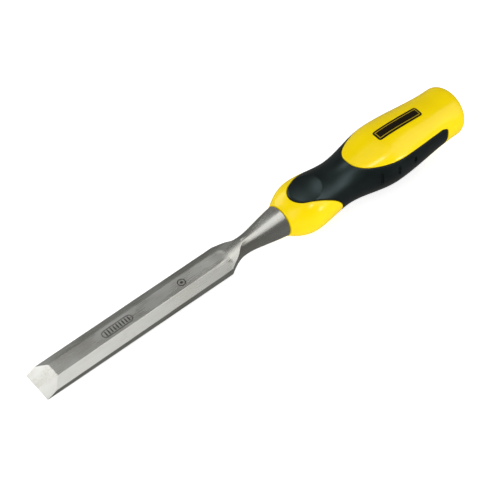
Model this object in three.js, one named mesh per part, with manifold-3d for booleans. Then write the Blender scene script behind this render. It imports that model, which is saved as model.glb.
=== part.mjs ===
// A bevel-edge bench chisel lying on a bench on its flat back.
// The chisel is drawn in its own frame first: X runs from the cutting edge (x = 0) to the butt,
// the flat back of the blade is the plane z = 0 and the ground face looks up (+Z).
// At the end the whole tool is tipped onto its two resting points, the cutting edge and the
// front bulb of the handle, and moved so that the origin is below the centre of its box.
import * as THREE from "three";
import { mergeVertices } from "three/addons/utils/BufferGeometryUtils.js";
import Module from "manifold-3d";

// ---- Driving dimensions, in millimetres and degrees ----

const BLADE_WIDTH = 16;
const BLADE_LENGTH = 99.5; // cutting edge to shoulder corners
const LAND_WIDTH = 7.1; // flat strip between the two side bevels
const THICKNESS_AT_TIP = 4.3;
const THICKNESS_AT_SHOULDER = 6.1;
const SIDE_AT_TIP = 2.2; // height of the upright side wall below the bevel
const SIDE_AT_SHOULDER = 3.5;
const END_BEVEL_ANGLE = 26.3;

const AXIS_HEIGHT = 3; // neck and handle axis above the flat back
const SHOULDER_LENGTH = 12; // shoulder corners to the round neck
const NECK_RADIUS = 4.35;
const BOLSTER_LENGTH = 21.8; // thinnest part of the neck to the bolster base
const BOLSTER_RADIUS = 7.75;

const TANG_LENGTH = 62;
const TANG_HALF_AT_ROOT = 3.4;
const TANG_HALF_AT_END = 1.9;
const TANG_BARBS = 6;
const TANG_BARB_DEPTH = 0.35;

const GAP = 0.3; // clearance between neighbouring pieces

const HANDLE_LENGTH = 110.8;
const HANDLE_FRONT_RADIUS = 7.95;
const BULB = { at: 14, radius: 13.3 };
const WAIST = { at: 34, radius: 11.4 };
const BELLY = { at: 63, radius: 15.5 };
const TAIL = { at: 101, radius: 13.05 };
const DOME_LENGTH = 6.8;
const DOME_EXPONENT = 2.25;

const FEATURE_TURN = 3.5; // the rubber and the badge sit turned this far from the top towards -Y
const GRIP_THICKNESS = 2.2;
const LOBE = { at: 12.8, radius: 7.4, angle: 30 }; // round front end of the rubber, on top
const SWEEP_END_ANGLE = 105;
const SWEEP_POWER = 2.4;
const GRIP_UNDERSIDE_START = 28.5; // where the rubber starts below the handle
const GRIP_END = 95.2; // square rear edge of the rubber on the sides and below
const WINDOW = {
  front: 39.9, // front tip of the hard window on top
  widest: 70,
  angle: 60.5, // half width over the belly
  power: 2.3,
  sideAngle: 62.5,
  cornerAngle: 71,
  cornerLength: 3.5,
};
const DISH = { at: 14.7, radius: 7.9, depth: 1.4 };
const GILLS = [50.8, 60.6, 71.2]; // three short slots in each side of the rubber
const GILL_WIDTH = 2;
const GILL_DEPTH = 0.9;
const GILL_ANGLE = 80;

const BADGE = { from: 58, to: 86, width: 6, thickness: 0.6, corner: 1.3 };

const HANDLE_SEGMENTS = 48; // round the turned surfaces
const BAND_STEPS = 12; // along the rubber
const MERGE_DISTANCE = 1e-4;

const NECK_AT = BLADE_LENGTH + SHOULDER_LENGTH;
const BOLSTER_BASE_AT = NECK_AT + BOLSTER_LENGTH;
const HANDLE_AT = BOLSTER_BASE_AT + GAP;

// ---- Solids: joining and cutting closed meshes ----

const wasm = await Module();
wasm.setup();

function toSolid(geometry) {
  geometry.deleteAttribute("normal");
  geometry.deleteAttribute("uv");
  const merged = mergeVertices(geometry, MERGE_DISTANCE);
  const vertProperties = new Float32Array(merged.attributes.position.array);
  const triVerts = new Uint32Array(merged.index.array);
  const mesh = new wasm.Mesh({ numProp: 3, vertProperties, triVerts });
  mesh.merge();
  return new wasm.Manifold(mesh);
}

function toGeometry(solid) {
  const { vertProperties, triVerts } = solid.getMesh();
  const geometry = new THREE.BufferGeometry();
  geometry.setAttribute("position", new THREE.BufferAttribute(vertProperties, 3));
  geometry.setIndex(new THREE.BufferAttribute(triVerts, 1));
  return geometry;
}

// ---- Shared shape helpers ----

const { lerp, smoothstep, degToRad, clamp } = THREE.MathUtils;

function buildMesh(positions, indices) {
  const geometry = new THREE.BufferGeometry();
  geometry.setAttribute("position", new THREE.Float32BufferAttribute(positions, 3));
  geometry.setIndex(indices);
  return geometry;
}

// Skins a row of rings, each a list of [y, z] around the same centre, and closes both ends.
function loft(rings) {
  const count = rings[0].points.length;
  const positions = [];
  const indices = [];
  for (const { x, points } of rings) {
    for (const [y, z] of points) positions.push(x, y, z);
  }
  for (let ring = 0; ring < rings.length - 1; ring++) {
    for (let i = 0; i < count; i++) {
      const a = ring * count + i;
      const b = ring * count + ((i + 1) % count);
      indices.push(a, b, b + count, a, b + count, a + count);
    }
  }
  const first = positions.length / 3;
  const last = rings[rings.length - 1];
  positions.push(rings[0].x, 0, AXIS_HEIGHT, last.x, 0, AXIS_HEIGHT);
  const lastStart = (rings.length - 1) * count;
  for (let i = 0; i < count; i++) {
    const next = (i + 1) % count;
    indices.push(first, next, i, first + 1, lastStart + i, lastStart + next);
  }
  return buildMesh(positions, indices);
}

// A body turned about the handle axis, from [x, radius] points that start and end on the axis.
function turned(profile) {
  const points = profile.map(([x, radius]) => new THREE.Vector2(radius, x));
  const geometry = new THREE.LatheGeometry(points, HANDLE_SEGMENTS);
  geometry.rotateZ(-Math.PI / 2);
  geometry.translate(0, 0, AXIS_HEIGHT);
  return toSolid(geometry);
}

// ---- Blade: one forging from the cutting edge to the end of the tang ----

// Share of the neck's swell at a share of its length: it starts level and ends as a cone.
function neckSwell(t) {
  return t * (1 - (1 - t) ** 3);
}

// The ground section of the blade: flat back, two upright sides, two bevels and the land.
function groundSection(x) {
  const t = Math.min(x / BLADE_LENGTH, 1);
  const half = BLADE_WIDTH / 2;
  const side = lerp(SIDE_AT_TIP, SIDE_AT_SHOULDER, t);
  const top = lerp(THICKNESS_AT_TIP, THICKNESS_AT_SHOULDER, t);
  const land = LAND_WIDTH / 2;
  const corners = [[half, 0], [half, side], [land, top], [-land, top], [-half, side], [-half, 0]];
  const steps = [3, 5, 10, 5, 3, 14];
  const points = [];
  corners.forEach(([y, z], i) => {
    const [nextY, nextZ] = corners[(i + 1) % corners.length];
    for (let k = 0; k < steps[i]; k++) {
      points.push([lerp(y, nextY, k / steps[i]), lerp(z, nextZ, k / steps[i])]);
    }
  });
  return points;
}

// Moves every point of a section along its own ray from the axis to reach the given radius.
function towardsRadius(points, radiusAt, amount) {
  return points.map(([y, z]) => {
    const angle = Math.atan2(z - AXIS_HEIGHT, y);
    const radius = lerp(Math.hypot(y, z - AXIS_HEIGHT), radiusAt(angle), amount);
    return [radius * Math.cos(angle), AXIS_HEIGHT + radius * Math.sin(angle)];
  });
}

// Distance from the centre to the side of a square with well rounded corners.
function squareRadius(half, angle) {
  const power = 6;
  const sum = Math.abs(Math.cos(angle)) ** power + Math.abs(Math.sin(angle)) ** power;
  return half / sum ** (1 / power);
}

function tangRings(allRound) {
  const rings = [];
  const pitch = TANG_LENGTH / TANG_BARBS;
  for (let barb = 0; barb < TANG_BARBS; barb++) {
    for (const [along, depth] of [[0, 0], [0.8, TANG_BARB_DEPTH]]) {
      const reach = (barb + along) * pitch;
      const half = lerp(TANG_HALF_AT_ROOT, TANG_HALF_AT_END, reach / TANG_LENGTH) - depth;
      const radiusAt = (angle) => squareRadius(half, angle);
      rings.push({ x: BOLSTER_BASE_AT + reach, points: towardsRadius(allRound, radiusAt, 1) });
    }
  }
  return rings;
}

function bladeSolid() {
  const rings = [0, BLADE_LENGTH / 2, BLADE_LENGTH].map((x) => ({ x, points: groundSection(x) }));
  const section = groundSection(BLADE_LENGTH);
  const shoulderSteps = 9;
  for (let i = 1; i <= shoulderSteps; i++) {
    const t = i / shoulderSteps;
    const points = towardsRadius(section, () => NECK_RADIUS, 1 - (1 - t) ** 2);
    rings.push({ x: BLADE_LENGTH + t * SHOULDER_LENGTH, points });
  }
  const bolsterSteps = 10;
  for (let i = 1; i <= bolsterSteps; i++) {
    const t = i / bolsterSteps;
    const radius = lerp(NECK_RADIUS, BOLSTER_RADIUS, neckSwell(t));
    const points = towardsRadius(section, () => radius, 1);
    rings.push({ x: NECK_AT + t * BOLSTER_LENGTH, points });
  }
  rings.push(...tangRings(section));
  return toSolid(loft(rings)).subtract(endBevelCutter());
}

// A block whose lower face is the plane of the end bevel, rising from the cutting edge.
function endBevelCutter() {
  const size = 40;
  const block = new THREE.BoxGeometry(size, size, size);
  block.translate(size / 4, 0, size / 2);
  block.rotateY(-degToRad(END_BEVEL_ANGLE));
  return toSolid(block);
}

// ---- Handle outline: radius at a distance from the front face ----

function handleRadius(along) {
  if (along < BULB.at) {
    const rise = 1 - (1 - along / BULB.at) ** 2;
    return lerp(HANDLE_FRONT_RADIUS, BULB.radius, rise);
  }
  const stations = [BULB, WAIST, BELLY, TAIL];
  for (let i = 1; i < stations.length; i++) {
    const [from, to] = [stations[i - 1], stations[i]];
    if (along < to.at) return lerp(from.radius, to.radius, smoothstep(along, from.at, to.at));
  }
  const past = clamp((along - HANDLE_LENGTH + DOME_LENGTH) / DOME_LENGTH, 0, 1);
  return TAIL.radius * (1 - past ** DOME_EXPONENT) ** (1 / DOME_EXPONENT);
}

// The whole turned handle, grown or shrunk all round by an offset.
function handleSolid(offset) {
  const profile = [[HANDLE_AT - offset, 0]];
  const steps = 34;
  for (let i = 0; i <= steps; i++) {
    const along = (i / steps) * (HANDLE_LENGTH - DOME_LENGTH);
    const shift = i === 0 ? offset : 0;
    profile.push([HANDLE_AT + along - shift, handleRadius(along) + offset]);
  }
  const domeSteps = 8;
  for (let i = 1; i <= domeSteps; i++) {
    const turn = (i / domeSteps) * (Math.PI / 2);
    const along = HANDLE_LENGTH - DOME_LENGTH * (1 - Math.sin(turn));
    const radius = i === domeSteps ? 0 : handleRadius(along) + offset * Math.cos(turn);
    profile.push([HANDLE_AT + along + offset * Math.sin(turn), radius]);
  }
  return turned(profile);
}

// ---- Rubber grip: a sleeve whose front and rear edges wander round the handle ----
// Angles are in degrees from its middle line, FEATURE_TURN off the top, and both sides are alike.

// Front edge: a round lobe on top, then a curve that sweeps back to the underside.
function gripFront(angle) {
  const lobeAt = Math.min(angle, LOBE.angle);
  const sideways = degToRad(lobeAt) * BULB.radius;
  const lobeEdge = LOBE.at - Math.sqrt(LOBE.radius ** 2 - sideways ** 2);
  const left = clamp((SWEEP_END_ANGLE - angle) / (SWEEP_END_ANGLE - LOBE.angle), 0, 1);
  return angle < LOBE.angle ? lobeEdge : lerp(GRIP_UNDERSIDE_START, lobeEdge, left ** SWEEP_POWER);
}

// Rear edge: the oval end of the window, its long side, a round corner and the square end.
function gripRear(angle) {
  const { front, widest, angle: oval, power, sideAngle, cornerAngle, cornerLength } = WINDOW;
  if (angle < oval) {
    return widest - (widest - front) * (1 - (angle / oval) ** power) ** (1 / power);
  }
  const sideEnd = GRIP_END - cornerLength;
  if (angle < sideAngle) return lerp(widest, sideEnd, (angle - oval) / (sideAngle - oval));
  const turn = clamp((angle - sideAngle) / (cornerAngle - sideAngle), 0, 1) * (Math.PI / 2);
  return sideEnd + cornerLength * Math.sin(turn);
}

// Columns round the sleeve, closer together where its edges turn quickly.
function gripAngles() {
  const side = [90 - FEATURE_TURN, 90 + FEATURE_TURN];
  const spans = [
    [0, 30, 6],
    [30, 58, 7],
    [58, 64, 6],
    [64, 72, 4],
    [72, side[0], 2],
    [side[0], side[1], 1],
    [side[1], 180, 7],
  ];
  const half = spans.flatMap(([from, to, count]) =>
    Array.from({ length: count }, (_, i) => lerp(from, to, i / count)));
  const mirrored = half.slice(1).reverse().map((angle) => -angle);
  return [...half, 180, ...mirrored];
}

function dishDepth(along, angle) {
  const distance = Math.hypot(along - DISH.at, degToRad(angle) * BULB.radius);
  return DISH.depth * Math.max(1 - (distance / DISH.radius) ** 2, 0);
}

// The sleeve as a closed ring: outer skin, rear edge, inner skin and front edge. A wider copy,
// grown by the gap and standing proud, is what is cut out of the handle to take it.
function gripSolid(gap) {
  const spread = (gap / BELLY.radius) * (180 / Math.PI);
  const proud = gap > 0 ? 1 : 0;
  const angles = gripAngles();
  const positions = [];
  const indices = [];
  for (const signed of angles) {
    const angle = Math.abs(signed);
    const front = gripFront(Math.max(angle - spread, 0)) - gap;
    const rear = gripRear(Math.min(angle + spread, 180)) + gap;
    const outer = [];
    const inner = [];
    for (let i = 0; i <= BAND_STEPS; i++) {
      const along = lerp(front, rear, i / BAND_STEPS);
      const surface = handleRadius(along);
      outer.push([along, surface + proud - (1 - proud) * dishDepth(along, signed)]);
      inner.push([along, surface - GRIP_THICKNESS - gap]);
    }
    for (const [along, radius] of [...outer, ...inner.reverse()]) {
      const turn = degToRad(signed + FEATURE_TURN);
      const y = -radius * Math.sin(turn);
      const z = AXIS_HEIGHT + radius * Math.cos(turn);
      positions.push(HANDLE_AT + along, y, z);
    }
  }
  const loop = 2 * (BAND_STEPS + 1);
  for (let column = 0; column < angles.length; column++) {
    const next = (column + 1) % angles.length;
    for (let i = 0; i < loop; i++) {
      const a = column * loop + i;
      const b = next * loop + i;
      const aNext = column * loop + ((i + 1) % loop);
      const bNext = next * loop + ((i + 1) % loop);
      indices.push(a, bNext, aNext, a, b, bNext);
    }
  }
  return toSolid(buildMesh(positions, indices));
}

function gripSleeve() {
  let sleeve = gripSolid(0);
  for (const along of GILLS) {
    for (const side of [1, -1]) {
      const slot = new THREE.BoxGeometry(GILL_WIDTH, 2 * BELLY.radius, BELLY.radius);
      slot.translate(0, 0, handleRadius(along) - GILL_DEPTH + BELLY.radius / 2);
      slot.rotateX(degToRad(side * GILL_ANGLE + FEATURE_TURN));
      slot.translate(HANDLE_AT + along, 0, AXIS_HEIGHT);
      sleeve = sleeve.subtract(toSolid(slot));
    }
  }
  return sleeve;
}

// ---- Badge: a thin inlaid plate on top, in the hard window ----

function badgePrism(margin) {
  const { from, to, width, corner } = BADGE;
  const [left, right] = [from - margin, to + margin];
  const half = width / 2 + margin;
  const radius = corner + margin;
  const outline = new THREE.Shape();
  outline.absarc(right - radius, half - radius, radius, 0, Math.PI / 2);
  outline.absarc(left + radius, half - radius, radius, Math.PI / 2, Math.PI);
  outline.absarc(left + radius, radius - half, radius, Math.PI, 1.5 * Math.PI);
  outline.absarc(right - radius, radius - half, radius, 1.5 * Math.PI, 2 * Math.PI);
  const prism = new THREE.ExtrudeGeometry(outline, {
    depth: 2 * BELLY.radius,
    bevelEnabled: false,
    curveSegments: 5,
  });
  prism.rotateX(degToRad(FEATURE_TURN));
  prism.translate(HANDLE_AT, 0, AXIS_HEIGHT);
  return toSolid(prism);
}

function badgePlate() {
  const skin = handleSolid(0).subtract(handleSolid(-BADGE.thickness));
  return badgePrism(0).intersect(skin);
}

// ---- Handle core: the hard moulding that holds the tang, the sleeve and the badge ----

function tangSocket() {
  const section = groundSection(BLADE_LENGTH);
  const ends = [
    { x: BOLSTER_BASE_AT - 1, half: TANG_HALF_AT_ROOT },
    { x: BOLSTER_BASE_AT, half: TANG_HALF_AT_ROOT },
    { x: BOLSTER_BASE_AT + TANG_LENGTH + GAP, half: TANG_HALF_AT_END },
  ];
  const rings = ends.map(({ x, half }) => {
    const radiusAt = (angle) => squareRadius(half + GAP, angle);
    return { x, points: towardsRadius(section, radiusAt, 1) };
  });
  return toSolid(loft(rings));
}

function handleCore() {
  const badgePocket = badgePrism(GAP).subtract(handleSolid(-BADGE.thickness - GAP));
  return handleSolid(0)
    .subtract(gripSolid(GAP))
    .subtract(tangSocket())
    .subtract(badgePocket);
}

// ---- Assembly ----

function namedMesh(name, solid, color, roughness, metalness) {
  const material = new THREE.MeshStandardMaterial({ color, roughness, metalness });
  material.name = name;
  const mesh = new THREE.Mesh(toGeometry(solid), material);
  mesh.name = name;
  return mesh;
}

// Tilt that brings the cutting edge and the front bulb of the handle to the same level.
function restingTilt() {
  let steepest = 0;
  for (let along = 0; along < HANDLE_LENGTH; along += 0.25) {
    const slope = (handleRadius(along) - AXIS_HEIGHT) / (HANDLE_AT + along);
    steepest = Math.max(steepest, slope);
  }
  return Math.atan(steepest);
}

const chisel = new THREE.Group();
chisel.rotation.y = -restingTilt();
chisel.add(
  namedMesh("blade", bladeSolid(), 0xa9abad, 0.32, 1),
  namedMesh("handle_core", handleCore(), 0xf7d500, 0.3, 0),
  namedMesh("grip_sleeve", gripSleeve(), 0x2b3335, 0.6, 0),
  namedMesh("badge_plate", badgePlate(), 0x2a2318, 0.4, 0),
);

const group = new THREE.Group();
group.add(chisel);
group.updateMatrixWorld(true);
const box = new THREE.Box3().setFromObject(group, true);
const centre = box.getCenter(new THREE.Vector3());
chisel.position.set(-centre.x, -centre.y, -box.min.z);

export default group;
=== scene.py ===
"""A bevel-edge bench chisel on a pale floor.

Lengths are in millimetres in the chisel's own frame, as the CAD model has them: x runs from the
cutting edge to the butt, z = 0 is the flat back, and the handle axis is AXIS above it. The placing
matrix turns that frame into the row frame in metres, where the chisel lies on its resting points.
"""
import math

import bmesh
import bpy
import numpy as np
from mathutils import Matrix, Vector
from mathutils.kdtree import KDTree


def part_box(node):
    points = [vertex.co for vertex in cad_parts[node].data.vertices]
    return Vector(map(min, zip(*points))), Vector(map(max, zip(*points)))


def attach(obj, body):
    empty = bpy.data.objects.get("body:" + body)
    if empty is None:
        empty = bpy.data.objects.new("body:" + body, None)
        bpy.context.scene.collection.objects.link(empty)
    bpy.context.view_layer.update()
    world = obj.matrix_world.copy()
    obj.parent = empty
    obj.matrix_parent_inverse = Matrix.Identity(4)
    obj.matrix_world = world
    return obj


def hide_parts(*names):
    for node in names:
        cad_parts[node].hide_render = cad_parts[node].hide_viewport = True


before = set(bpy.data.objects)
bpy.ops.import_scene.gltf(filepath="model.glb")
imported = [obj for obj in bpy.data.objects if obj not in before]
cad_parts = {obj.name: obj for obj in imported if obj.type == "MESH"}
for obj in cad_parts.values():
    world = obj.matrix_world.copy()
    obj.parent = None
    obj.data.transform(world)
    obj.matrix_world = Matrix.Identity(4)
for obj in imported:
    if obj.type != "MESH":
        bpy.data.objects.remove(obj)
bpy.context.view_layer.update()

# ---- Dimensions, in millimetres and degrees -------------------------------------------------

BLADE_WIDTH = 16.0
BLADE_LENGTH = 99.5
LAND_WIDTH = 7.1
THICKNESS = (4.3, 6.1)  # at the cutting edge and at the shoulder
SIDE = (2.2, 3.5)  # height of the upright side wall, at the same two places
END_BEVEL = 26.3
ARRIS = 0.18  # how far the long edges of the blade are rounded

SHOULDER_LENGTH = 12.0
SWEEP_FROM, GROUND_END = 93.0, 109.5  # where the land starts to rise and where its grinding ends
SWEEP_RISE, SWEEP_CURVE = 1.25, 2.0
ARCH_FROM, ARCH_LENGTH = 86.0, 16.0  # where the arris between land and bevel melts away
ARCH_BLEND = 4.0
ARRIS_POWER, ARCH_POWER = 60.0, 4.5  # how sharply land and bevel meet before and after that
BLOCK_POWER = 40.0  # squareness of the shoulder where it leaves the blade
BLOCK_RISE = 1.2  # how far the shoulder's block stands above the ground face before grinding
BLADE_RINGS, FINE_FROM, FINE_STEP = 30, 12.0, 0.3  # rings: even ones, then fine ones by the shoulder
SHOULDER_STEP, BOLSTER_RINGS = 0.2, 60

AXIS = 3.0
NECK_RADIUS = 4.35
BOLSTER_LENGTH = 21.8
BOLSTER_RADIUS = 7.75
BOLSTER_CHAMFER = 0.25
TANG_LENGTH = 62.0
TANG = (3.4, 1.9)  # half of its width at the bolster and at its end
TANG_BARBS, TANG_BARB_DEPTH = 6, 0.35
BARB_LENGTH = 0.8  # share of the distance between barbs that tapers
TANG_POWER = 6  # squareness of the tang
GAP = 0.3

HANDLE_AT = BLADE_LENGTH + SHOULDER_LENGTH + BOLSTER_LENGTH + GAP
HANDLE_LENGTH = 110.8
HANDLE_FRONT = 7.95
BULB, WAIST, BELLY, TAIL = (14.0, 13.3), (34.0, 11.4), (63.0, 15.5), (101.0, 13.05)
DOME_LENGTH, DOME_POWER = 6.8, 2.25
FRONT_FILLET = 0.6
INSET = 0.05  # keeps the smooth skin inside the faceted CAD box
TILT_STEP = 0.25  # between the places where the handle might rest
HANDLE_COLUMNS, HANDLE_ROWS, FILLET_ROWS, DOME_ROWS = 112, 132, 5, 20
SHARP_ANGLE, BLADE_SHARP_ANGLE = 34, 20  # edges sharper than this stay sharp in the shading

FEATURE_TURN = 3.5  # the rubber and the badge sit turned this far towards -y
SLEEVE = 2.2  # thickness of the rubber
LOBE_AT, LOBE_RADIUS, LOBE_ANGLE = 12.8, 7.4, 30.0
SWEEP_END, SWEEP_POWER = 105.0, 2.4
UNDERSIDE_START, GRIP_END = 28.5, 95.2
WINDOW_FRONT, WINDOW_WIDEST, WINDOW_ANGLE, WINDOW_POWER = 39.9, 70.0, 60.5, 2.3
SIDE_ANGLE, CORNER_ANGLE, CORNER_LENGTH = 62.5, 71.0, 3.5
DISH_AT, DISH_RADIUS, DISH_DEPTH = 14.7, 7.9, 1.4
GILLS, GILL_HALVES = (50.8, 60.6, 71.2), (3.6, 2.8, 2.0)  # places and half lengths
GILL_ANGLE, GILL_WIDTH, GILL_DEPTH = 80.0, 1.9, 0.9
BADGE = (58.0, 86.0, 6.0, 1.3)  # from, to, width and corner radius
BADGE_DEPTH = 0.35

BORDER_COUNT, BORDER_STEP = 36000, 0.15  # samples round an edge of the rubber, then evened out
BORDER_NEAR = 1.2  # closer to the edge than this, the distance is measured along its normal
FAR, BELOW = 99.0, -9.0  # field values that no cut reaches

# Rounding of the borders: distance from the border, and how far the surface lies from the skin.
CHANNEL_EDGE = ((-0.1, -SLEEVE), (0, -0.35), (0.08, -0.12), (0.2, -0.03), (0.45, 0))
RECESS_EDGE = ((-0.05, -BADGE_DEPTH), (0, -0.05), (0.1, 0))
SLEEVE_LIP = ((-0.6, 0), (-0.38, -0.07), (-0.27, -0.22), (-0.22, -0.5))
GILL_EDGE = ((-0.45, -GILL_DEPTH), (-0.12, -GILL_DEPTH * 0.7), (0, -0.06), (0.15, 0))
BADGE_LIP = ((-0.15, 0), (-0.07, -0.06))
DISH_CUTS = (0.12, 0, -0.12)  # distances from the dish's rim where the mesh gets an edge
SLEEVE_CLEARANCE, BADGE_CLEARANCE = 0.05, 0.02  # left under the rubber and under the badge

MARK = (42.2, 15.5, 3.6)  # the etched oblong on the land: middle, length and width
MARK_MARGIN, HATCH_RATE, HATCH_LEVEL = 0.55, 4.2, 0.25  # the hatching inside the oblong
STAMP = (77.0, 1.75)  # the etched ring: middle and radius
LINE_HALVES = (0.2, 0.25, 0.16)  # half widths of the oblong's, the ring's and the badge's lines
STAMP_DOT = 0.4  # radius of the dot as a share of the ring's
BADGE_LINE_AT = 1.2  # distance of the printed line from the badge's edge
ON_LAND = 4.0  # the etched marks lie above this height
BEVEL_SKIN = 0.03  # how close to the end bevel's plane a point counts as on it

# ---- View and light: places and directions in the chisel's frame, sizes in metres -------------

LENS, SENSOR_WIDTH = 96.67, 36
CAMERA_AT = (-118.8, -293.9, 455.2)
CAMERA_TARGET = (112.6, -0.5, 3.0)
CAMERA_ROLL = -2.51
LIT_POINT = (120.0, 0.0, 3.0)  # the point that every softbox faces
SOFTBOX_DISTANCE = 1.1
SOFTBOXES = (  # name, direction, size, radiance, and the piece it lights, if only one
    ("overhead", (0.05, 0.0, 1.0), (0.7, 0.6), 1.05, None),
    ("slope", (0.08, -0.46, 0.88), (0.75, 0.45), 0.8, None),
    ("front", (-0.52, 0.53, 0.67), (0.7, 0.6), 0.6, None),
    ("brow", (-0.1, 0.5, 0.86), (0.5, 0.3), 0.55, "chisel_blade"),
    ("left_fill", (-0.75, -0.45, 0.5), (0.9, 0.9), 1.8, None),
    ("right_fill", (0.66, -0.6, 0.46), (0.7, 0.8), 2.1, "handle_moulding"),
    ("far_fill", (-0.35, 0.85, 0.35), (0.8, 0.8), 3.2, None),
    ("rear", (0.6, 0.5, 0.62), (0.5, 0.5), 1.5, "chisel_blade"),
    ("crest", (0.48, 0.1, 0.87), (0.4, 0.6), 0.8, "chisel_blade"),
    ("high_spark", (0.17, -0.77, 0.61), (0.2, 0.1), 26.0, "handle_moulding"),
    ("low_spark", (0.5, -0.86, 0.06), (0.2, 0.1), 18.0, "handle_moulding"),
    ("glint", (0.31, 0.21, 0.93), (0.34, 0.2), 8.0, "rubber_grip"),
    ("sheen", (0.56, -0.58, 0.59), (0.4, 0.9), 4.0, "rubber_grip"),
)
SKY = (  # height, from 0 straight down to 1 straight up, and colour: first the two ends
    (0.0, (0.19, 0.19, 0.185, 1)),
    (1.0, (0.15, 0.15, 0.148, 1)),
    (0.48, (0.185, 0.185, 0.18, 1)),
    (0.56, (0.165, 0.165, 0.16, 1)),
)
FLOOR_SIZE, FLOOR_GLOW = 6, 0.75  # the floor glows, as a light table does
BACKDROP_RADIUS, BACKDROP_GLOW = 5.0, 0.85


# ---- From the chisel's frame to the row frame -----------------------------------------------

def ease(t):
    """Smooth step from 0 to 1."""
    t = np.clip(t, 0, 1)
    return t * t * (3 - 2 * t)


def handle_radius(along):
    """Radius of the handle at distances from its front face, as far as the start of the dome."""
    along = np.asarray(along, float)
    front = HANDLE_FRONT + (BULB[1] - HANDLE_FRONT) * (1 - (1 - along / BULB[0]) ** 2)
    radius = np.where(along < BULB[0], front, TAIL[1])
    stations = (BULB, WAIST, BELLY, TAIL)
    for (x0, r0), (x1, r1) in zip(stations, stations[1:]):
        inside = (along >= x0) & (along < x1)
        radius = np.where(inside, r0 + (r1 - r0) * ease((along - x0) / (x1 - x0)), radius)
    return radius


def resting_tilt():
    """Angle that brings the cutting edge and the bulb of the handle down to one level."""
    along = np.arange(0, HANDLE_LENGTH, TILT_STEP)
    slopes = (handle_radius(along) - AXIS) / (HANDLE_AT + along)
    return math.atan(slopes.max())


PLACING = (
    Matrix.Translation((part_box("blade")[0].x, 0, 0))
    @ Matrix.Rotation(-resting_tilt(), 4, "Y")
)
MM = 0.001


# ---- Meshes ---------------------------------------------------------------------------------

def make_piece(name, points, faces, material, node):
    """A mesh object that rides on the chisel and stands for one CAD node."""
    mesh = bpy.data.meshes.new(name)
    mesh.from_pydata((np.asarray(points) * MM).tolist(), [], np.asarray(faces).tolist())
    mesh.transform(PLACING)
    mesh.validate()
    mesh.shade_smooth()
    mesh.set_sharp_from_angle(angle=math.radians(SHARP_ANGLE))
    mesh.materials.append(material)
    piece = bpy.data.objects.new(name, mesh)
    bpy.context.scene.collection.objects.link(piece)
    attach(piece, "root")
    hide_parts(node)
    return piece


def skin(rings):
    """Points and triangles of a closed surface through rings of equal length, with fans at its ends."""
    count = len(rings[0])
    middles = [rings[0].mean(0), rings[-1].mean(0)]
    points = np.vstack([*rings, *middles])
    i = np.arange(count)
    j = (i + 1) % count
    last = (len(rings) - 1) * count
    first_middle = np.full(count, last + count)
    faces = [np.stack([first_middle, j, i], 1), np.stack([first_middle + 1, last + i, last + j], 1)]
    for start in range(0, last, count):
        a, b = start + i, start + j
        faces += [np.stack([a, b, b + count], 1), np.stack([a, b + count, a + count], 1)]
    return points, np.concatenate(faces)


def moved_out(points, distance):
    """Points moved away from the handle axis."""
    ray = points - [0, 0, AXIS]
    ray[:, 0] = 0
    length = np.linalg.norm(ray, axis=1, keepdims=True)
    step = np.broadcast_to(np.asarray(distance, float), len(points))[:, None]
    return points + ray / np.maximum(length, 1e-9) * step


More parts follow.
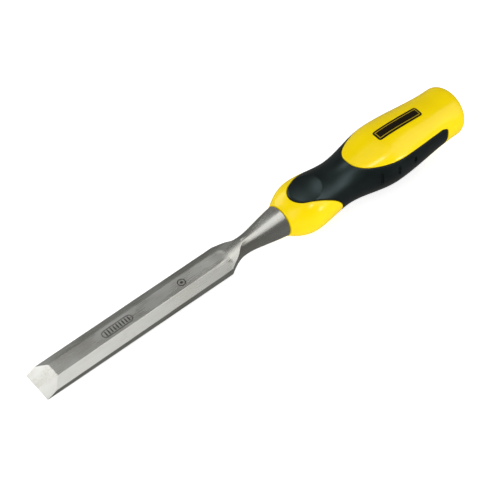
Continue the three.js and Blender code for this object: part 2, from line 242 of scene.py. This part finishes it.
class Surface:
    """Triangles, with the values of some fields at their points."""

    def __init__(self, points, faces, **fields):
        self.points = points
        self.faces = faces
        self.fields = fields

    def cut(self, name, *levels):
        """Splits the triangles so that mesh edges lie exactly on these levels of a field."""
        for level in levels:
            self.cut_once(name, level)

    def cut_once(self, name, level):
        faces = self.faces
        away = self.fields[name] - level
        away = np.where(np.abs(away) < 1e-5, 0.0, away)
        ends = np.stack([faces, np.roll(faces, -1, axis=1)], 2)
        low, high = ends.min(2), ends.max(2)
        crossing = away[low] * away[high] < 0
        keys = low.astype(np.int64) * len(self.points) + high
        used, index = np.unique(keys[crossing], return_inverse=True)
        a, b = used // len(self.points), used % len(self.points)
        t = away[a] / (away[a] - away[b])
        middle = np.full(faces.shape, -1)
        middle[crossing] = len(self.points) + index
        self.points = np.vstack([self.points, blend(self.points[a], self.points[b], t[:, None])])
        for key, values in self.fields.items():
            self.fields[key] = np.concatenate([values, blend(values[a], values[b], t)])
        cuts = crossing.sum(1)
        result = [faces[cuts == 0]]
        for turn in range(3):
            f, m = np.roll(faces, -turn, axis=1), np.roll(middle, -turn, axis=1)
            p, q = f[(cuts == 2) & (m[:, 1] < 0)], m[(cuts == 2) & (m[:, 1] < 0)]
            result.append(np.stack([p[:, 0], q[:, 0], q[:, 2]], 1))
            result.append(np.stack([q[:, 0], p[:, 1], p[:, 2]], 1))
            result.append(np.stack([q[:, 0], p[:, 2], q[:, 2]], 1))
            p, q = f[(cuts == 1) & (m[:, 0] >= 0)], m[(cuts == 1) & (m[:, 0] >= 0)]
            result.append(np.stack([p[:, 0], q[:, 0], p[:, 2]], 1))
            result.append(np.stack([q[:, 0], p[:, 1], p[:, 2]], 1))
        self.faces = np.concatenate(result)

    def part_within(self, name, limit):
        """The triangles whose points are all at or under a limit of a field."""
        wanted = (self.fields[name][self.faces] < limit + 1e-4).all(1)
        used, index = np.unique(self.faces[wanted], return_inverse=True)
        fields = {key: values[used] for key, values in self.fields.items()}
        return Surface(self.points[used], index.reshape(-1, 3), **fields)

    def thickened(self, outer, inner):
        """Points and faces of a closed shell: outer and inner are its skins' offsets from here."""
        edges = np.concatenate([self.faces[:, pair] for pair in ([0, 1], [1, 2], [2, 0])])
        seen = {tuple(edge) for edge in edges.tolist()}
        rim = np.array([(a, b) for a, b in seen if (b, a) not in seen])
        count = len(self.points)
        a, b = rim[:, 0], rim[:, 1]
        walls = [np.stack([b, a, a + count], 1), np.stack([b, a + count, b + count], 1)]
        points = np.vstack([moved_out(self.points, outer), moved_out(self.points, inner)])
        return points, np.concatenate([self.faces, self.faces[:, ::-1] + count, *walls])


def blend(first, second, amount):
    return first + (second - first) * amount


# ---- Blade ----------------------------------------------------------------------------------

def tapered(ends, x):
    """A size that changes evenly from the cutting edge to the shoulder."""
    return blend(*ends, np.minimum(x / BLADE_LENGTH, 1))


def around_axis(points):
    """Angles and distances of points about the axis."""
    y, z = points[:, 1], points[:, 2] - AXIS
    return np.arctan2(z, y), np.hypot(y, z)


def blade_top(x):
    """Height of the land, which sweeps up where the grinding runs out on the neck."""
    sweep = np.clip((x - SWEEP_FROM) / (GROUND_END - SWEEP_FROM), 0, None) ** SWEEP_CURVE
    return tapered(THICKNESS, x) + SWEEP_RISE * sweep


def half_width(x):
    """Half of the blade's width seen from above: straight, then narrowing into the neck."""
    t = np.clip((x - BLADE_LENGTH) / SHOULDER_LENGTH, 0, 1)
    return NECK_RADIUS + (BLADE_WIDTH / 2 - NECK_RADIUS) * (1 - t) ** 2


def ground_reach(x, angle):
    """Distance from the axis to the ground face: land and bevels, which melt into one arch."""
    top = blade_top(x) - AXIS
    fall = (tapered(THICKNESS, x) - tapered(SIDE, x)) / (BLADE_WIDTH / 2 - LAND_WIDTH / 2)
    up, across = np.maximum(np.sin(angle), 1e-3), np.abs(np.cos(angle))
    land = top / up
    bevel = (top + fall * LAND_WIDTH / 2) / (up + fall * across)
    melt = blend(ARRIS_POWER, ARCH_POWER, ease((x - ARCH_FROM) / ARCH_LENGTH))
    return (land**-melt + bevel**-melt) ** (-1 / melt)


def rounded(corners, counts, radius):
    """A closed outline through corners, with points crowded towards its rounded corners."""
    outline = []
    size = len(corners)
    for k in range(size):
        corner, following, after = corners[k], corners[(k + 1) % size], corners[(k + 2) % size]
        along = (following - corner) / np.linalg.norm(following - corner)
        leaving = (after - following) / np.linalg.norm(after - following)
        start, stop = corner + along * radius, following - along * radius
        share = (1 - np.cos(np.linspace(0, math.pi, counts[k]))) / 2
        outline += [blend(start, stop, s) for s in share]
        for s in (0.33, 0.67):
            outline.append((1 - s) ** 2 * stop + 2 * s * (1 - s) * following
                           + s * s * (following + leaving * radius))
    return np.array(outline)


def blade_section(x):
    """Outline of the blade's cross-section, as y and z."""
    half, land, side, top = BLADE_WIDTH / 2, LAND_WIDTH / 2, tapered(SIDE, x), blade_top(x)
    right = [[half, 0], [half, side], [land, top]]
    corners = np.array(right + [[-y, z] for y, z in reversed(right)])
    return rounded(corners, (9, 20, 26, 20, 9, 30), ARRIS)


def in_plane(x, outline):
    """A ring of points in the plane at x."""
    return np.column_stack([np.full(len(outline), x), outline])


def shoulder_outline(x, angle):
    """Outline behind the blade before grinding: a block that turns into the round neck."""
    t = ease((x - BLADE_LENGTH) / SHOULDER_LENGTH)
    ground_share = ease((x - BLADE_LENGTH) / (GROUND_END - BLADE_LENGTH))
    height = blend(blade_top(x) + BLOCK_RISE - AXIS, NECK_RADIUS, ground_share)
    tall = np.where(np.sin(angle) > 0, height, blend(AXIS, NECK_RADIUS, t))
    power = 1 / blend(1 / BLOCK_POWER, 0.5, ground_share)
    across, up = np.abs(np.cos(angle)) / half_width(x), np.abs(np.sin(angle)) / tall
    radius = (across**power + up**power) ** (-1 / power)
    return np.column_stack([radius * np.cos(angle), AXIS + radius * np.sin(angle)])


def bolster_profile():
    """Places and radii of the neck and the bolster, as far as its chamfered base."""
    neck = BLADE_LENGTH + SHOULDER_LENGTH
    base = neck + BOLSTER_LENGTH
    profile = []
    for t in np.linspace(0, 1, BOLSTER_RINGS):
        swell = t * (1 - (1 - t) ** 3)
        radius = blend(NECK_RADIUS, BOLSTER_RADIUS, swell)
        profile.append((blend(neck, base - BOLSTER_CHAMFER, t), radius))
    profile.append((base, BOLSTER_RADIUS - BOLSTER_CHAMFER))
    return profile


def blade_piece(material):
    """The forging: blade, shoulder, neck, bolster and tang, with its top ground down to shape."""
    end, neck = BLADE_LENGTH, BLADE_LENGTH + SHOULDER_LENGTH
    rings = [in_plane(x, blade_section(x)) for x in np.linspace(0, end - FINE_FROM, BLADE_RINGS)]
    fine = np.arange(end - FINE_FROM + FINE_STEP, end, FINE_STEP)
    rings += [in_plane(x, blade_section(x)) for x in fine]
    section = blade_section(end)
    angle = np.arctan2(section[:, 1] - AXIS, section[:, 0])
    rings += [in_plane(x, shoulder_outline(x, angle)) for x in np.arange(end, neck, SHOULDER_STEP)]
    circle = np.column_stack([np.cos(angle), np.sin(angle)])
    rings += [in_plane(x, circle * radius + [0, AXIS]) for x, radius in bolster_profile()]
    base = neck + BOLSTER_LENGTH
    rings += [in_plane(base + along, square(half, angle)) for along, half in tang_steps(0)]
    points, faces = skin(rings)
    x, z = points[:, 0], points[:, 2]
    turn, reach = around_axis(points)
    on_top = (z > AXIS) & (x > ARCH_FROM) & (x < neck)
    surface = Surface(points, faces, proud=np.where(on_top, reach - ground_reach(x, turn), BELOW))
    surface.cut("proud", 0)
    x = surface.points[:, 0]
    turn, reach = around_axis(surface.points)
    melting = ease((x - ARCH_FROM) / ARCH_BLEND)
    ground = blend(reach, ground_reach(x, turn), melting)
    reach = np.where(surface.fields["proud"] >= 0, ground, reach)
    points = np.column_stack([x, reach * np.cos(turn), AXIS + reach * np.sin(turn)])
    piece = make_piece("chisel_blade", points, surface.faces, material, "blade")
    grind_end_bevel(piece.data)


def square(half, angle):
    """A square with rounded corners round the axis."""
    sum_of_powers = np.abs(np.cos(angle)) ** TANG_POWER + np.abs(np.sin(angle)) ** TANG_POWER
    radius = half / sum_of_powers ** (1 / TANG_POWER)
    return np.column_stack([radius * np.cos(angle), AXIS + radius * np.sin(angle)])


def tang_steps(gap):
    """Distance from the bolster and half-width of the barbed tang, one pair for each ring."""
    steps = []
    pitch = TANG_LENGTH / TANG_BARBS
    for barb in range(TANG_BARBS):
        for along, depth in ((0, 0), (BARB_LENGTH, TANG_BARB_DEPTH)):
            reach = (barb + along) * pitch
            steps.append((reach, blend(*TANG, reach / TANG_LENGTH) - depth + gap))
    return steps


def grind_end_bevel(mesh):
    """Cuts the mesh along the end bevel's plane and closes it with one flat face."""
    slope = math.radians(END_BEVEL)
    away = Vector((-math.sin(slope), 0, math.cos(slope)))
    work = bmesh.new()
    work.from_mesh(mesh)
    whole = work.verts[:] + work.edges[:] + work.faces[:]
    away.rotate(PLACING)
    cut = bmesh.ops.bisect_plane(
        work, geom=whole, plane_co=PLACING.translation, plane_no=away, clear_outer=True, dist=1e-7
    )
    edges = [e for e in cut["geom_cut"] if isinstance(e, bmesh.types.BMEdge)]
    bmesh.ops.holes_fill(work, edges=edges, sides=0)
    bmesh.ops.remove_doubles(work, verts=work.verts[:], dist=1e-6)
    work.to_mesh(mesh)
    work.free()
    mesh.shade_smooth()
    mesh.set_sharp_from_angle(angle=math.radians(BLADE_SHARP_ANGLE))


# ---- Handle: fields on the turned surface ---------------------------------------------------

def grip_front(angle):
    """Distance from the handle's front to the rubber, at angles in degrees from the top."""
    angle = np.abs(angle)
    sideways = np.radians(np.minimum(angle, LOBE_ANGLE)) * BULB[1]
    lobe = LOBE_AT - np.sqrt(LOBE_RADIUS**2 - sideways**2)
    left = np.clip((SWEEP_END - angle) / (SWEEP_END - LOBE_ANGLE), 0, 1)
    return np.where(angle < LOBE_ANGLE, lobe, blend(UNDERSIDE_START, lobe, left**SWEEP_POWER))


def grip_rear(angle):
    """Distance from the handle's front to the rear edge of the rubber."""
    angle = np.abs(angle)
    oval = (1 - np.minimum(angle / WINDOW_ANGLE, 1) ** WINDOW_POWER) ** (1 / WINDOW_POWER)
    side_end = GRIP_END - CORNER_LENGTH
    side = (angle - WINDOW_ANGLE) / (SIDE_ANGLE - WINDOW_ANGLE)
    turn = np.clip((angle - SIDE_ANGLE) / (CORNER_ANGLE - SIDE_ANGLE), 0, 1)
    edge = np.where(
        angle < WINDOW_ANGLE,
        WINDOW_WIDEST - (WINDOW_WIDEST - WINDOW_FRONT) * oval,
        blend(WINDOW_WIDEST, side_end, side),
    )
    corner = side_end + CORNER_LENGTH * np.sin(turn * math.pi / 2)
    return np.where(angle < SIDE_ANGLE, edge, corner)


def on_handle(along, radius, angle):
    """Points round the handle axis, at angles in degrees from the middle of the badge."""
    turn = np.radians(angle + FEATURE_TURN)
    x = HANDLE_AT + along + 0 * turn
    return np.stack([x, -radius * np.sin(turn), AXIS + radius * np.cos(turn)], -1)


def border(edge_at):
    """Evenly spaced points along an edge of the rubber, and their in-surface normals towards -x."""
    angle = np.linspace(-180, 180, BORDER_COUNT + 1)[:-1]
    along = edge_at(angle)
    rough = on_handle(along, handle_radius(along), angle)
    walked = np.concatenate([[0], np.cumsum(np.linalg.norm(np.diff(rough, axis=0), axis=1))])
    even = np.interp(np.arange(0, walked[-1], BORDER_STEP), walked, angle)
    along = edge_at(even)
    points = on_handle(along, handle_radius(along), even)
    tangent = np.roll(points, -1, axis=0) - np.roll(points, 1, axis=0)
    normal = np.cross(tangent, moved_out(points, 1.0) - points)
    return points, normal / np.linalg.norm(normal, axis=1, keepdims=True)


def signed_distance(points, edge_at):
    """Distance of points from an edge of the rubber, positive on its -x side."""
    samples, normals = border(edge_at)
    tree = KDTree(len(samples))
    for index, sample in enumerate(samples):
        tree.insert(sample, index)
    tree.balance()
    nearest, reach = np.array([tree.find(point)[1:] for point in points]).T
    nearest = nearest.astype(int)
    across = ((points - samples[nearest]) * normals[nearest]).sum(1)
    return np.where(reach < BORDER_NEAR, across, np.copysign(reach, across))


def rectangle_distance(u, v, half_u, half_v, corner):
    """Signed distance from a rectangle with rounded corners, negative inside."""
    u, v = np.abs(u) - half_u + corner, np.abs(v) - half_v + corner
    outside = np.hypot(np.maximum(u, 0), np.maximum(v, 0))
    return outside + np.minimum(np.maximum(u, v), 0) - corner


def gill_distance(along, angle):
    """Signed distance from the nearest gill, a short slot with round ends on each side."""
    nearest = np.full(len(along), FAR)
    for at, half in zip(GILLS, GILL_HALVES):
        arc = np.radians(np.abs(angle) - GILL_ANGLE) * handle_radius(at)
        past_end = np.maximum(np.abs(arc) + GILL_WIDTH / 2 - half, 0)
        reach = np.hypot(along - at, past_end) - GILL_WIDTH / 2
        nearest = np.minimum(nearest, reach)
    return nearest


def handle_surface():
    """The handle's whole skin and tang socket, with the distances that shape it as fields."""
    angle = np.arange(HANDLE_COLUMNS) * 360 / HANDLE_COLUMNS
    polar = np.radians(angle + FEATURE_TURN + 90)
    socket = [(reach - GAP, square(half, polar)) for reach, half in reversed(tang_steps(GAP))]
    socket[0] = (TANG_LENGTH, socket[0][1])
    rings = [in_plane(HANDLE_AT + max(at, 0), outline) for at, outline in socket]
    profile = []
    for turn in np.linspace(0, math.pi / 2, FILLET_ROWS):
        back = FRONT_FILLET * (1 - math.sin(turn))
        profile.append((FRONT_FILLET - FRONT_FILLET * math.cos(turn),
                        float(handle_radius(FRONT_FILLET)) - back))
    body = np.linspace(FRONT_FILLET, HANDLE_LENGTH - DOME_LENGTH, HANDLE_ROWS)[1:]
    profile += [(along, float(handle_radius(along))) for along in body]
    for turn in np.linspace(0, math.pi / 2, DOME_ROWS)[1:-1]:
        past, inside = math.sin(turn) ** (2 / DOME_POWER), math.cos(turn) ** (2 / DOME_POWER)
        profile.append((HANDLE_LENGTH - INSET - DOME_LENGTH * (1 - past), TAIL[1] * inside))
    rings += [on_handle(along, radius - INSET, angle) for along, radius in profile]
    points, faces = skin(rings)
    x, y, z = points.T
    along = x - HANDLE_AT
    angle = (np.degrees(np.arctan2(-y, z - AXIS)) - FEATURE_TURN + 180) % 360 - 180
    hidden = np.arange(len(points)) < len(socket) * HANDLE_COLUMNS
    hidden[-2:] = True
    rubber = np.maximum(signed_distance(points, grip_front), -signed_distance(points, grip_rear))
    arc = np.radians(angle) * handle_radius(along)
    badge_from, badge_to, badge_width, badge_corner = BADGE
    badge = rectangle_distance(
        along - (badge_from + badge_to) / 2, arc,
        (badge_to - badge_from) / 2, badge_width / 2, badge_corner,
    )
    dish = np.hypot(along - DISH_AT, np.radians(angle) * BULB[1]) - DISH_RADIUS
    gill = gill_distance(along, angle)
    fields = {"rubber": rubber, "badge": badge, "dish": dish, "gill": gill}
    return Surface(points, faces, **{k: np.where(hidden, FAR, v) for k, v in fields.items()})


def shaped(surface, name, edge):
    """Offset from the skin near a border, for pairs of a distance from it and an offset."""
    return np.interp(surface.fields[name], *zip(*edge))


def levels(edge):
    """The distances in a list of such pairs, from the outermost in."""
    return [distance for distance, _ in reversed(edge)]


def core_piece(material):
    """The hard moulding, with a channel for the rubber and a recess for the badge."""
    surface = handle_surface()
    surface.cut("rubber", *levels(CHANNEL_EDGE))
    surface.cut("badge", *levels(RECESS_EDGE))
    channel = shaped(surface, "rubber", CHANNEL_EDGE)
    points = moved_out(surface.points, channel + shaped(surface, "badge", RECESS_EDGE))
    make_piece("handle_moulding", points, surface.faces, material, "handle_core")


def sleeve_piece(material):
    """The soft sleeve: rounded lips, a thumb dish and gills, with its inner skin in the channel."""
    surface = handle_surface()
    surface.cut("rubber", *levels(SLEEVE_LIP))
    sleeve = surface.part_within("rubber", SLEEVE_LIP[-1][0])
    sleeve.cut("dish", *DISH_CUTS)
    sleeve.cut("gill", *levels(GILL_EDGE))
    inside = np.minimum(sleeve.fields["dish"], 0) / DISH_RADIUS
    dish = DISH_DEPTH * (inside + 1) ** 2 - DISH_DEPTH
    lip, gill = shaped(sleeve, "rubber", SLEEVE_LIP), shaped(sleeve, "gill", GILL_EDGE)
    points, faces = sleeve.thickened(lip + dish + gill, SLEEVE_CLEARANCE - SLEEVE)
    make_piece("rubber_grip", points, faces, material, "grip_sleeve")


def badge_piece(material):
    """The thin plate in its recess on top of the handle."""
    surface = handle_surface()
    surface.cut("badge", *levels(BADGE_LIP))
    plate = surface.part_within("badge", BADGE_LIP[-1][0])
    points, faces = plate.thickened(shaped(plate, "badge", BADGE_LIP), BADGE_CLEARANCE - BADGE_DEPTH)
    make_piece("handle_badge", points, faces, material, "badge_plate")


# ---- Materials ------------------------------------------------------------------------------

class Finish:
    """A node material, with short ways to add and link its nodes. Places are in millimetres."""

    def __init__(self, name):
        self.material = bpy.data.materials.new(name)
        self.material.use_nodes = True
        self.tree = self.material.node_tree
        self.shader = self.tree.nodes["Principled BSDF"]
        here = self.add("ShaderNodeTexCoord").outputs["Object"]
        self.place = self.add(
            "ShaderNodeMapping", here, vector_type="TEXTURE", Scale=(MM, MM, MM),
            Location=PLACING.translation, Rotation=PLACING.to_euler(),
        ).outputs[0]
        self.axes = self.add("ShaderNodeSeparateXYZ", self.place).outputs

    def put(self, socket, value):
        if isinstance(value, bpy.types.NodeSocket):
            self.tree.links.new(value, socket)
        else:
            socket.default_value = value

    def add(self, kind, *values, **named):
        node = self.tree.nodes.new(kind)
        for name, value in named.items():
            if name[0].islower():
                setattr(node, name, value)
        sockets = [socket for socket in node.inputs if socket.enabled]
        for socket, value in zip(sockets, values):
            self.put(socket, value)
        for name, value in named.items():
            if not name[0].islower():
                self.put(next(socket for socket in sockets if socket.name == name), value)
        return node

    def math(self, operation, *values):
        return self.add("ShaderNodeMath", *values, operation=operation).outputs[0]

    def vector(self, operation, *values):
        return self.add("ShaderNodeVectorMath", *values, operation=operation)

    def noise(self, stretch, detail=3.0):
        """Noise from 0 to 1, with stretch waves in a millimetre along each axis."""
        scaled = self.add("ShaderNodeMapping", self.place, Scale=stretch).outputs[0]
        return self.add("ShaderNodeTexNoise", Vector=scaled, Scale=1.0, Detail=detail).outputs["Fac"]

    def ramp(self, value, low, high, out_low=0.0, out_high=1.0):
        return self.add("ShaderNodeMapRange", value, low, high, out_low, out_high).outputs[0]

    def mix(self, amount, first, second):
        node = self.add("ShaderNodeMix", data_type="RGBA", Factor=amount, A=first, B=second)
        return next(socket for socket in node.outputs if socket.enabled)

    def bump(self, height, distance, strength=1.0, **below):
        """A bump of so many millimetres."""
        node = self.add("ShaderNodeBump", Height=height, Distance=distance * MM, Strength=strength, **below)
        return node.outputs[0]

    def set(self, **sockets):
        for name, value in sockets.items():
            self.put(self.shader.inputs[name.replace("_", " ")], value)


def steel():
    """Ground steel: fine scratches along the blade and across the end bevel."""
    finish = Finish("ground_steel")
    x, _, z = finish.axes
    along = finish.noise((0.04, 3.0, 3.0), 4.0)
    across = finish.noise((4.0, 0.08, 0.08), 4.0)
    height = finish.math("MULTIPLY", x, math.tan(math.radians(END_BEVEL)))
    from_bevel = finish.math("ABSOLUTE", finish.math("SUBTRACT", z, height))
    on_bevel = finish.math("LESS_THAN", from_bevel, BEVEL_SKIN)
    grain = finish.add("ShaderNodeMix", on_bevel, along, across).outputs[0]
    cloud = finish.noise((0.05, 0.15, 0.15), 2.0)
    tone = finish.mix(finish.ramp(cloud, 0.35, 0.7), (0.56, 0.555, 0.51, 1), (0.66, 0.66, 0.63, 1))
    tone = finish.mix(etched_marks(finish), tone, (0.05, 0.045, 0.035, 1))
    rough = finish.ramp(grain, 0.3, 0.7, 0.26, 0.29)
    rough = finish.math("ADD", rough, finish.ramp(cloud, 0.3, 0.7, -0.03, 0.03))
    finish.set(Base_Color=tone, Metallic=1.0, Roughness=rough, Normal=finish.bump(grain, 0.0005, 0.5))
    return finish.material


def etched_marks(finish):
    """Mask of the marks on the land: a hatched oblong frame and a ring, with no lettering."""
    x, y, z = finish.axes
    on_face = finish.math("GREATER_THAN", z, ON_LAND)
    middle_x, length, width = MARK
    frame_half, ring_half, _ = LINE_HALVES
    u = finish.math("ABSOLUTE", finish.math("SUBTRACT", x, middle_x))
    u = finish.math("MAXIMUM", finish.math("SUBTRACT", u, (length - width) / 2), 0.0)
    squares = finish.math("ADD", finish.math("POWER", u, 2.0), finish.math("POWER", y, 2.0))
    oblong = finish.math("SQRT", squares)
    frame_line = finish.math("COMPARE", oblong, width / 2, frame_half)
    inside = finish.math("LESS_THAN", oblong, width / 2 - MARK_MARGIN)
    wave = finish.math("SINE", finish.math("MULTIPLY", x, HATCH_RATE))
    bars = finish.math("MULTIPLY", inside, finish.math("GREATER_THAN", wave, HATCH_LEVEL))
    stamp_x, stamp_radius = STAMP
    reach = finish.vector("SUBTRACT", finish.place, (stamp_x, 0, 0)).outputs[0]
    flat_reach = finish.vector("MULTIPLY", reach, (1, 1, 0)).outputs[0]
    distance = finish.vector("LENGTH", flat_reach).outputs["Value"]
    ring = finish.math("COMPARE", distance, stamp_radius, ring_half)
    dot = finish.math("LESS_THAN", distance, stamp_radius * STAMP_DOT)
    oblong_marks, stamp_marks = finish.math("MAXIMUM", frame_line, bars), finish.math("MAXIMUM", ring, dot)
    marks = finish.math("MAXIMUM", oblong_marks, stamp_marks)
    worn = finish.ramp(finish.noise((2.0, 2.0, 2.0)), 0.3, 0.6, 0.75, 1.0)
    return finish.math("MULTIPLY", finish.math("MULTIPLY", marks, worn), on_face)


def yellow_plastic():
    """Glossy moulded plastic with a faint ripple and softly rubbed patches."""
    finish = Finish("yellow_moulding")
    patch = finish.noise((0.06, 0.1, 0.1))
    fine = finish.noise((5, 5, 5), 2.0)
    ripple = finish.noise((0.3, 0.3, 0.3), 2.0)
    tone = finish.mix(finish.ramp(patch, 0.35, 0.65), (0.90, 0.66, 0.0, 1), (0.94, 0.70, 0.0, 1))
    rough = finish.ramp(patch, 0.3, 0.7, 0.18, 0.23)
    rough = finish.math("ADD", rough, finish.ramp(fine, 0.3, 0.7, -0.02, 0.03))
    normal = finish.bump(fine, 0.003, 0.5, Normal=finish.bump(ripple, 0.02, 0.5))
    finish.set(Base_Color=tone, Roughness=rough, Normal=normal, Specular_IOR_Level=0.25)
    return finish.material


def grip_rubber():
    """Satin rubber with a fine moulded texture."""
    finish = Finish("soft_rubber")
    fine = finish.noise((4, 4, 4))
    patch = finish.noise((0.1, 0.15, 0.15))
    tone = finish.mix(finish.ramp(patch, 0.35, 0.65), (0.003, 0.005, 0.005, 1), (0.006, 0.009, 0.009, 1))
    rough = finish.ramp(patch, 0.3, 0.7, 0.33, 0.39)
    rough = finish.math("ADD", rough, finish.ramp(fine, 0.3, 0.7, -0.04, 0.04))
    finish.set(
        Base_Color=tone, Roughness=rough, Specular_IOR_Level=0.3,
        Specular_Tint=(0.75, 1.0, 1.0, 1), Normal=finish.bump(fine, 0.012, 0.6)
    )
    return finish.material


def badge_ink():
    """Dark plate with a fine printed line inside its edge."""
    finish = Finish("badge_print")
    x, y, _ = finish.axes
    fine = finish.noise((4, 4, 4), 2.0)
    badge_from, badge_to, badge_width, _ = BADGE
    u = finish.math("ABSOLUTE", finish.math("SUBTRACT", x, HANDLE_AT + (badge_from + badge_to) / 2))
    middle_y = -BELLY[1] * math.sin(math.radians(FEATURE_TURN))
    v = finish.math("ABSOLUTE", finish.math("SUBTRACT", y, middle_y))
    inward = finish.math("MINIMUM", finish.math("SUBTRACT", (badge_to - badge_from) / 2, u),
                         finish.math("SUBTRACT", badge_width / 2, v))
    line = finish.math("COMPARE", inward, BADGE_LINE_AT, LINE_HALVES[2])
    ink = finish.mix(finish.ramp(fine, 0.3, 0.7), (0.012, 0.008, 0.003, 1), (0.020, 0.013, 0.006, 1))
    tone = finish.mix(line, ink, (0.72, 0.52, 0.02, 1))
    finish.set(Base_Color=tone, Roughness=finish.ramp(fine, 0.3, 0.7, 0.32, 0.4), Specular_IOR_Level=0.15)
    return finish.material


# ---- Camera, floor and light ----------------------------------------------------------------

def add_camera():
    """The camera, placed in the chisel's frame and turned a little about its own line of sight."""
    data = bpy.data.cameras.new("camera")
    data.sensor_width = SENSOR_WIDTH
    data.lens = LENS
    camera = bpy.data.objects.new("camera", data)
    sight = Vector(CAMERA_TARGET) - Vector(CAMERA_AT)
    turn = sight.to_track_quat("-Z", "Y").to_matrix().to_4x4()
    turn = turn @ Matrix.Rotation(math.radians(CAMERA_ROLL), 4, "Z")
    camera.matrix_world = PLACING @ Matrix.Translation(Vector(CAMERA_AT) * MM) @ turn
    bpy.context.scene.collection.objects.link(camera)
    bpy.context.scene.camera = camera


def glowing_paint(name, tone, glow):
    """A matt grey that also gives off light, without being sampled as a lamp."""
    paint = bpy.data.materials.new(name)
    paint.use_nodes = True
    shader = paint.node_tree.nodes["Principled BSDF"]
    shader.inputs["Base Color"].default_value = (tone, tone, tone, 1)
    shader.inputs["Roughness"].default_value = 0.9
    shader.inputs["Specular IOR Level"].default_value = 0.0
    shader.inputs["Emission Color"].default_value = (1, 1, 1, 1)
    shader.inputs["Emission Strength"].default_value = glow
    paint.cycles.emission_sampling = "NONE"
    return paint


def add_floor():
    """A wide pale floor, hidden from glossy surfaces, which see the surroundings' lower half instead."""
    bpy.ops.mesh.primitive_plane_add(size=FLOOR_SIZE)
    floor = bpy.context.object
    floor.name = "floor"
    floor.visible_glossy = False
    floor.data.materials.append(glowing_paint("floor_paint", 0.9, FLOOR_GLOW))


def add_backdrop():
    """A pale dome that only the camera sees, behind the far edge of the floor."""
    bpy.ops.mesh.primitive_uv_sphere_add(radius=BACKDROP_RADIUS, segments=64, ring_count=32)
    dome = bpy.context.object
    dome.name = "backdrop"
    dome.visible_diffuse = dome.visible_glossy = False
    dome.visible_transmission = dome.visible_shadow = False
    dome.data.materials.append(glowing_paint("backdrop_paint", 0.0, BACKDROP_GLOW))


def add_softbox(name, direction, size, radiance, lit):
    """A flat light that faces the middle of the chisel, and lights only the piece named lit, if any."""
    data = bpy.data.lights.new(name, "AREA")
    data.shape = "RECTANGLE"
    data.size, data.size_y = size
    data.energy = radiance * math.pi * data.size * data.size_y
    lamp = bpy.data.objects.new(name, data)
    way = Vector(direction).normalized()
    turn = way.to_track_quat("Z", "Y").to_matrix().to_4x4()
    place = Vector(LIT_POINT) * MM + way * SOFTBOX_DISTANCE
    lamp.matrix_world = PLACING @ Matrix.Translation(place) @ turn
    bpy.context.scene.collection.objects.link(lamp)
    if lit:
        lamp.light_linking.receiver_collection = bpy.data.collections.new(name)
        lamp.light_linking.receiver_collection.objects.link(bpy.data.objects[lit])


def add_surroundings():
    """Soft grey surroundings, darker below the horizon."""
    world = bpy.data.worlds.new("surroundings")
    bpy.context.scene.world = world
    world.use_nodes = True
    nodes, links = world.node_tree.nodes, world.node_tree.links
    here = nodes.new("ShaderNodeTexCoord")
    axes = nodes.new("ShaderNodeSeparateXYZ")
    ramp = nodes.new("ShaderNodeValToRGB")
    shift = nodes.new("ShaderNodeMapRange")
    shift.inputs["From Min"].default_value = -1
    links.new(here.outputs["Generated"], axes.inputs[0])
    links.new(axes.outputs["Z"], shift.inputs["Value"])
    links.new(shift.outputs[0], ramp.inputs[0])
    links.new(ramp.outputs[0], nodes["Background"].inputs["Color"])
    below, above = ramp.color_ramp.elements
    below.position, below.color = SKY[0]
    above.position, above.color = SKY[1]
    for position, color in SKY[2:]:
        ramp.color_ramp.elements.new(position).color = color


# ---- The scene ------------------------------------------------------------------------------

add_camera()
add_floor()
add_backdrop()
add_surroundings()
bpy.context.scene.view_settings.view_transform = "Standard"

blade_piece(steel())
core_piece(yellow_plastic())
sleeve_piece(grip_rubber())
badge_piece(badge_ink())

for softbox in SOFTBOXES:
    add_softbox(*softbox)
